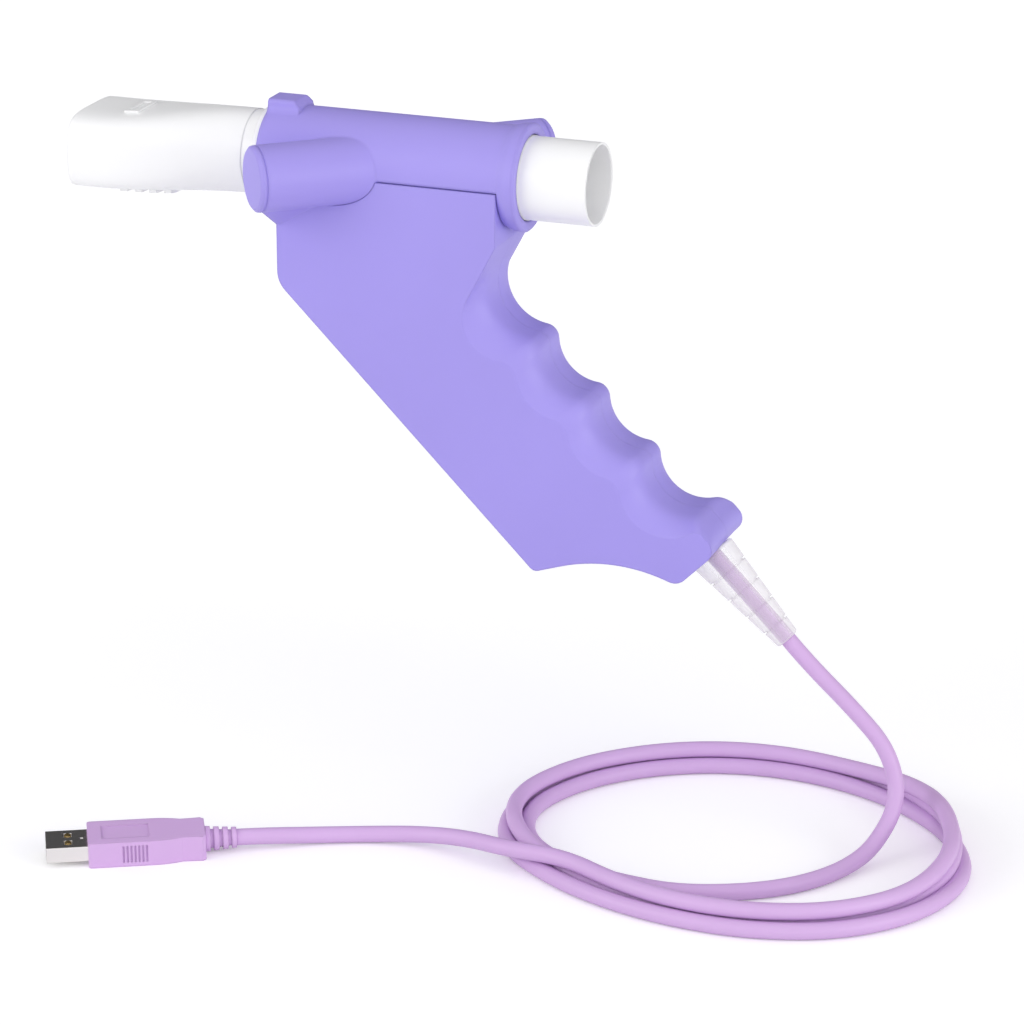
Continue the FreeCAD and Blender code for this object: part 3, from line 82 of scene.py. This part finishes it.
room = bpy.data.worlds.new("pale_room")
scene.world = room
room.use_nodes = True
tree = room.node_tree
tree.nodes.clear()
sky = tree.nodes.new("ShaderNodeOutputWorld")
way = tree.nodes.new("ShaderNodeTexCoord")
split = tree.nodes.new("ShaderNodeSeparateXYZ")
tree.links.new(way.outputs["Generated"], split.inputs[0])
path = tree.nodes.new("ShaderNodeLightPath")


def room_wall(near, far, nearest, furthest):
    """The room's brightness from the viewer's side to the far side."""
    fade = tree.nodes.new("ShaderNodeMapRange")
    fade.interpolation_type = "SMOOTHSTEP"
    fade.inputs["From Min"].default_value = nearest
    fade.inputs["From Max"].default_value = furthest
    fade.inputs["To Min"].default_value = near
    fade.inputs["To Max"].default_value = far
    tree.links.new(split.outputs["Y"], fade.inputs["Value"])
    wall = tree.nodes.new("ShaderNodeBackground")
    wall.inputs["Color"].default_value = (0.98, 0.98, 1.0, 1)
    tree.links.new(fade.outputs[0], wall.inputs["Strength"])
    return wall


def either(chooser, first, second):
    """The first, or the second for the rays that the chooser names."""
    mixed = tree.nodes.new("ShaderNodeMixShader")
    tree.links.new(path.outputs[chooser], mixed.inputs[0])
    tree.links.new(first.outputs[0], mixed.inputs[1])
    tree.links.new(second.outputs[0], mixed.inputs[2])
    return mixed


white = tree.nodes.new("ShaderNodeBackground")
white.inputs["Color"].default_value = (1, 1, 1, 1)
# The room as it lights the object, and as shiny surfaces mirror it: dark on the far side.
lighting = room_wall(near=0.94, far=0.58, nearest=-1.0, furthest=1.0)
mirrored = room_wall(near=1.15, far=0.06, nearest=-0.1, furthest=0.75)
lit = either("Is Glossy Ray", lighting, mirrored)
seen = either("Is Camera Ray", lit, white)
tree.links.new(seen.outputs[0], sky.inputs["Surface"])


def soft_lamp(name, place, power, width=1.0):
    """A square diffuser on a stand, aimed at the hand grip."""
    lamp = bpy.data.lights.new(name, "AREA")
    lamp.size = width
    lamp.energy = power
    stand = bpy.data.objects.new(name, lamp)
    stand.location = place
    stand.rotation_euler = (-Vector(place)).to_track_quat("-Z", "Y").to_euler()
    scene.collection.objects.link(stand)


soft_lamp("left_lamp", place=(-1.2, -1.2, 0.65), power=8.0)
soft_lamp("right_lamp", place=(1.6, -0.5, 0.4), power=9.0)

# 20 degrees above the table and 20 degrees round to the right, from 1.1 m.
view = bpy.data.cameras.new("photo_view")
view.lens = 140.625
view.sensor_width = 36.0
view.clip_start = 0.05
camera = bpy.data.objects.new("photo_view", view)
camera.location = (0.371666, -1.031741, 0.378878)
camera.rotation_euler = (math.radians(69.9), math.radians(-0.094), math.radians(20.334))
scene.collection.objects.link(camera)
scene.camera = camera

# Handle covers. Two injection moulded halves in violet ABS, with the fine spark-eroded skin
# of the tool. They meet on the middle plane and are screwed together from the far side.
violet = (0.352, 0.294, 0.760, 1.0)


def group_socket(group, name, kind, way, value=None):
    """An input or output on the group, with the value it starts from."""
    socket = group.interface.new_socket(name=name, in_out=way, socket_type=kind)
    if value is not None:
        socket.default_value = value
    return socket


def moulded_skin_group():
    """Colour drift, grain bump and softened edges of a moulded part, as colours and normals."""
    group = bpy.data.node_groups.new("moulded_skin", "ShaderNodeTree")
    group_socket(group, "Colour", "NodeSocketColor", "INPUT", (0.5, 0.5, 0.5, 1))
    group_socket(group, "Drift", "NodeSocketFloat", "INPUT", 0.04)
    group_socket(group, "Roughness", "NodeSocketFloat", "INPUT", 0.45)
    group_socket(group, "Grain Size", "NodeSocketFloat", "INPUT", 2500.0)
    group_socket(group, "Grain Depth", "NodeSocketFloat", "INPUT", 0.1)
    group_socket(group, "Edge", "NodeSocketFloat", "INPUT", 0.0004)
    group_socket(group, "Colour", "NodeSocketColor", "OUTPUT")
    group_socket(group, "Roughness", "NodeSocketFloat", "OUTPUT")
    group_socket(group, "Normal", "NodeSocketVector", "OUTPUT")
    n, wire = group.nodes, group.links
    given, made = n.new("NodeGroupInput"), n.new("NodeGroupOutput")
    place = n.new("ShaderNodeTexCoord")
    cloud = n.new("ShaderNodeTexNoise")
    cloud.inputs["Scale"].default_value = 22.0
    cloud.inputs["Detail"].default_value = 3.0
    wire.new(place.outputs["Object"], cloud.inputs["Vector"])
    swing = n.new("ShaderNodeMapRange")
    swing.inputs["From Min"].default_value = 0.3
    swing.inputs["From Max"].default_value = 0.7
    swing.inputs["To Min"].default_value = -1.0
    wire.new(cloud.outputs["Fac"], swing.inputs["Value"])
    amount = n.new("ShaderNodeMath")
    amount.operation = "MULTIPLY_ADD"
    amount.inputs[2].default_value = 1.0
    wire.new(swing.outputs[0], amount.inputs[0])
    wire.new(given.outputs["Drift"], amount.inputs[1])
    tint = n.new("ShaderNodeVectorMath")
    tint.operation = "SCALE"
    wire.new(given.outputs["Colour"], tint.inputs[0])
    wire.new(amount.outputs[0], tint.inputs["Scale"])
    wire.new(tint.outputs[0], made.inputs["Colour"])
    gloss = n.new("ShaderNodeMath")
    gloss.operation = "MULTIPLY"
    wire.new(amount.outputs[0], gloss.inputs[0])
    wire.new(given.outputs["Roughness"], gloss.inputs[1])
    wire.new(gloss.outputs[0], made.inputs["Roughness"])
    grain = n.new("ShaderNodeTexNoise")
    grain.inputs["Detail"].default_value = 2.0
    wire.new(place.outputs["Object"], grain.inputs["Vector"])
    wire.new(given.outputs["Grain Size"], grain.inputs["Scale"])
    soft = n.new("ShaderNodeBevel")
    soft.samples = 6
    wire.new(given.outputs["Edge"], soft.inputs["Radius"])
    bump = n.new("ShaderNodeBump")
    bump.inputs["Distance"].default_value = 0.00012
    wire.new(given.outputs["Grain Depth"], bump.inputs["Strength"])
    wire.new(grain.outputs["Fac"], bump.inputs["Height"])
    wire.new(soft.outputs[0], bump.inputs["Normal"])
    wire.new(bump.outputs[0], made.inputs["Normal"])
    return group


moulded_skin = moulded_skin_group()


def moulded(name, colour, roughness, grain, depth, drift=0.03, edge=0.0004):
    """A plastic with the shared moulded skin. Returns its material and its main shader."""
    material = bpy.data.materials.new(name)
    material.use_nodes = True
    tree = material.node_tree
    shader = tree.nodes["Principled BSDF"]
    skin = tree.nodes.new("ShaderNodeGroup")
    skin.node_tree = moulded_skin
    skin.inputs["Colour"].default_value = colour
    skin.inputs["Drift"].default_value = drift
    skin.inputs["Roughness"].default_value = roughness
    skin.inputs["Grain Size"].default_value = grain
    skin.inputs["Grain Depth"].default_value = depth
    skin.inputs["Edge"].default_value = edge
    tree.links.new(skin.outputs["Colour"], shader.inputs["Base Color"])
    tree.links.new(skin.outputs["Roughness"], shader.inputs["Roughness"])
    tree.links.new(skin.outputs["Normal"], shader.inputs["Normal"])
    return material, shader


def violet_abs(name, edge):
    """The housing's plastic. The edge is how far its corners are softened."""
    material, shader = moulded(name, violet, roughness=0.46, grain=3000.0, depth=0.12,
                               drift=0.02, edge=edge)
    shader.inputs["Specular IOR Level"].default_value = 0.42
    shader.inputs["Subsurface Weight"].default_value = 0.06
    shader.inputs["Subsurface Radius"].default_value = (0.002, 0.0015, 0.003)
    return material


def finish(node, material):
    """Gives a solid its material, as the only one."""
    mesh = nodes[node].data
    mesh.materials.clear()
    mesh.materials.append(material)


cover_abs = violet_abs("violet_abs", edge=0.0006)
finish("near_cover", cover_abs)
finish("far_cover", cover_abs)

# Sensor head and barrel caps. The same ABS with rounder corners: the sleeve and both barrels
# are one moulding, and the caps are pressed on over the transducers.
head_abs = violet_abs("violet_head", edge=0.0014)
for part in ("sensor_head", "near_cap", "far_cap"):
    finish(part, head_abs)

# Transducers, their rings and retainers. Brushed aluminium cans in dark silicone, hidden
# behind the barrel caps.
can_metal, shader = moulded("can_aluminium", (0.62, 0.62, 0.64, 1), roughness=0.34,
                            grain=900.0, depth=0.05, drift=0.05, edge=0.0002)
shader.inputs["Metallic"].default_value = 1.0
dark_silicone, shader = moulded("dark_silicone", (0.035, 0.035, 0.04, 1), roughness=0.6,
                                grain=1800.0, depth=0.1)
for side in ("near", "far"):
    finish(f"{side}_transducer", can_metal)
    finish(f"{side}_damping_ring", dark_silicone)
    finish(f"{side}_retainer", dark_silicone)

# Breathing tube with its two window screens. Thin glossy white polypropylene that glows a
# little where light comes through, and fine woven screens flush with its wall.
tube_white, shader = moulded("tube_white", (0.93, 0.93, 0.93, 1), roughness=0.28,
                             grain=1200.0, depth=0.03, drift=0.01, edge=0.0006)
shader.inputs["Subsurface Weight"].default_value = 0.2
shader.inputs["Subsurface Radius"].default_value = (1.0, 1.0, 1.0)
shader.inputs["Subsurface Scale"].default_value = 0.004
shader.inputs["Coat Weight"].default_value = 0.15
shader.inputs["Coat Roughness"].default_value = 0.15
shader.inputs["Sheen Weight"].default_value = 0.3
shader.inputs["Sheen Roughness"].default_value = 0.5
finish("breathing_tube", tube_white)
screen, shader = moulded("window_screen", (0.78, 0.78, 0.80, 1), roughness=0.7,
                         grain=4000.0, depth=0.6, drift=0.1)
finish("near_window_mesh", screen)
finish("far_window_mesh", screen)

# Electronics in the handle. Green laminate, dark chips and pale connectors, on the far
# cover's posts with zinc plated screws.
laminate, shader = moulded("green_laminate", (0.02, 0.16, 0.07, 1), roughness=0.35,
                           grain=700.0, depth=0.05, drift=0.1)
chips, shader = moulded("chip_resin", (0.02, 0.02, 0.022, 1), roughness=0.5,
                        grain=3000.0, depth=0.1)
nylon, shader = moulded("connector_nylon", (0.72, 0.69, 0.60, 1), roughness=0.45,
                        grain=2000.0, depth=0.05)
zinc, shader = moulded("zinc_plate", (0.55, 0.55, 0.57, 1), roughness=0.3,
                       grain=900.0, depth=0.05, drift=0.08, edge=0.0002)
shader.inputs["Metallic"].default_value = 1.0
finish("main_board", laminate)
finish("board_chips", chips)
finish("cord_header", nylon)
finish("transducer_headers", nylon)
for part in ("board_screws", "housing_screws", "cord_clamp"):
    finish(part, zinc)

# Strain relief. Clear soft PVC moulded on the cord, slightly milky, so that the lilac
# jacket shows through its notched taper. It looks denser where it is seen edge on.
clear_pvc, shader = moulded("clear_pvc", (0.96, 0.93, 0.95, 1), roughness=0.16,
                            grain=600.0, depth=0.06, drift=0.01, edge=0.0003)
tree = clear_pvc.node_tree
edge_on = tree.nodes.new("ShaderNodeLayerWeight")
edge_on.inputs["Blend"].default_value = 0.35
milk = tree.nodes.new("ShaderNodeMapRange")
milk.inputs["To Min"].default_value = 0.20
milk.inputs["To Max"].default_value = 0.80
tree.links.new(edge_on.outputs["Facing"], milk.inputs["Value"])
tree.links.new(milk.outputs[0], shader.inputs["Alpha"])
finish("strain_relief", clear_pvc)

# Cord. One length of soft lilac PVC jacket: from the relief down to the table, round in three
# loose turns that lie on each other, and out over them to the plug.
jacket, shader = moulded("lilac_jacket", (0.63, 0.415, 0.72, 1), roughness=0.42,
                         grain=900.0, depth=0.08)
shader.inputs["Specular IOR Level"].default_value = 0.4
shader.inputs["Subsurface Weight"].default_value = 0.1
shader.inputs["Subsurface Radius"].default_value = (0.002, 0.0012, 0.002)
cord_thickness = 0.0048
on_table = table_height + cord_thickness / 2
cord_exit = (0.074935, 0.0, -0.051683)
drop = [cord_exit, (0.0813, -0.0005, -0.05805), (0.0963, -0.004, -0.069),
        (0.1077, -0.0065, -0.079), (0.1123, -0.010, -0.0925), (0.1088, -0.022, -0.1022),
        (0.1038, -0.0345, on_table), (0.0950, -0.0490, on_table), (0.082, -0.0593, on_table),
        (0.064, -0.0665, on_table), (0.048, -0.0655, on_table)]
turn_centre = (0.068, -0.028)
# The inner strand's distance from the centre in millimetres at every sixteenth of a turn,
# from the front left, clockwise from above. The turns make an oval, pulled out sideways.
sixteenth = 22.5
oval = (52.1, 59.9, 61.6, 58.6, 55.3, 53.4, 52.6, 53.6, 56.8, 60.2, 63.6, 63.0, 58.8, 52.8,
        48.6, 48.4)
# How the three turns lie on each other. Each entry is a number of sixteenths, how far
# outside the inner strand the cord is there, and how high its underside is.
lay = [(0, -4.2, 0.0), (2, 0.0, 0.0), (8, 0.0, 0.0), (10, 4.8, 0.0), (23, 5.0, 0.0),
       (25, 2.0, 5.4), (27, 0.0, 0.0), (32, 0.0, 0.0), (33, 2.0, 4.8), (34, 3.6, 4.3),
       (36, 2.5, 4.3), (39, 2.2, 4.3), (41, 0.3, 9.5), (43, 1.2, 4.7), (46, 2.4, 4.3),
       (48, 0.4, 4.8)]
# A curve of this kind runs a little inside its points, so they are moved out by that much.
spread = 1 / (0.75 + 0.25 * math.cos(math.radians(sixteenth)))
coil = []
for (first, outside, low), (last, next_outside, high) in zip(lay, lay[1:]):
    for step in range(first, last):
        share = (step - first) / (last - first)
        reach = oval[step % 16] + outside + share * (next_outside - outside)
        angle = math.radians(-135 - sixteenth * step)
        coil.append((turn_centre[0] + reach * spread / 1000 * math.cos(angle),
                     turn_centre[1] + reach * spread / 1000 * math.sin(angle),
                     on_table + (low + share * (high - low)) / 1000))
run = [(0.0305, -0.0660, -0.0995), (0.0130, -0.0655, -0.0997), (-0.002, -0.0600, -0.1012),
       (-0.017, -0.0576, on_table + 0.0012), (-0.0325, -0.0608, on_table),
       (-0.046, -0.0672, on_table + 0.0003), (-0.058894, -0.075161, -0.1032),
       (-0.065075, -0.078447, -0.1032)]
route = drop + coil + run
line = bpy.data.curves.new("cord", "CURVE")
line.dimensions = "3D"
line.bevel_depth = cord_thickness / 2
line.bevel_resolution = 6
line.resolution_u = 10
line.use_fill_caps = True
spline = line.splines.new("NURBS")
spline.points.add(len(route) - 1)
for point, place in zip(spline.points, route):
    point.co = (*place, 1.0)
spline.order_u = 3
spline.use_endpoint_u = True
line.materials.append(jacket)
cord = bpy.data.objects.new("cord", line)
scene.collection.objects.link(cord)
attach(cord, "handset")
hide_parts("cord_drop", "cord_coil", "cord_run")
finish("cord_core", jacket)

# Plug. A folded steel shell round a white tongue with gold strips, in a lilac overmould with
# side grips, and a ribbed neck. Two gold leaves spring up in the shell's windows.
plug_pvc, shader = moulded("lilac_plug", (0.63, 0.41, 0.72, 1), roughness=0.5,
                           grain=2200.0, depth=0.1, drift=0.02, edge=0.0007)
shader.inputs["Subsurface Weight"].default_value = 0.1
shader.inputs["Subsurface Radius"].default_value = (0.002, 0.0012, 0.002)
steel, shader = moulded("plug_steel", (0.88, 0.85, 0.83, 1), roughness=0.22,
                        grain=500.0, depth=0.04, drift=0.06)
shader.inputs["Metallic"].default_value = 1.0
tongue, shader = moulded("tongue_plastic", (0.80, 0.80, 0.80, 1), roughness=0.4,
                         grain=1500.0, depth=0.05)
gold, shader = moulded("gold_plate", (0.85, 0.60, 0.22, 1), roughness=0.22,
                       grain=500.0, depth=0.03, drift=0.05, edge=0.0001)
shader.inputs["Metallic"].default_value = 1.0
shell_middle, shell_turn = Vector((-0.1026, -0.0984, -0.1032)), math.radians(28.0)
leaf_start, leaf_length, leaf_bends = -0.00656, 0.0020, 8
leaf_half_width, leaf_offset = 0.00105, 0.00252
leaf_base, leaf_rise, leaf_thickness = 0.00202, 0.00034, 0.0001
mesh = bmesh.new()
for side in (-1, 1):
    rows = []
    for step in range(leaf_bends + 1):
        along = leaf_start + leaf_length * step / leaf_bends
        under = leaf_base + leaf_rise * math.sin(math.pi * step / leaf_bends)
        row = []
        for edge, up in ((-1, leaf_thickness), (1, leaf_thickness), (1, 0.0), (-1, 0.0)):
            across = side * leaf_offset + edge * leaf_half_width
            row.append(mesh.verts.new(shell_middle + Vector((
                along * math.cos(shell_turn) - across * math.sin(shell_turn),
                along * math.sin(shell_turn) + across * math.cos(shell_turn),
                under + up))))
        rows.append(row)
    for one, two in zip(rows, rows[1:]):
        for corner in range(4):
            mesh.faces.new((one[corner], two[corner], two[corner - 3], one[corner - 3]))
    mesh.faces.new(rows[0])
    mesh.faces.new(rows[-1][::-1])
bmesh.ops.recalc_face_normals(mesh, faces=mesh.faces)
leaves = bpy.data.meshes.new("plug_springs")
mesh.to_mesh(leaves)
mesh.free()
leaves.materials.append(gold)
springs = bpy.data.objects.new("plug_springs", leaves)
scene.collection.objects.link(springs)
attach(springs, "handset")
finish("plug_overmould", plug_pvc)
finish("plug_neck", plug_pvc)
finish("plug_shell", steel)
finish("plug_tongue", tongue)
finish("plug_contacts", gold)
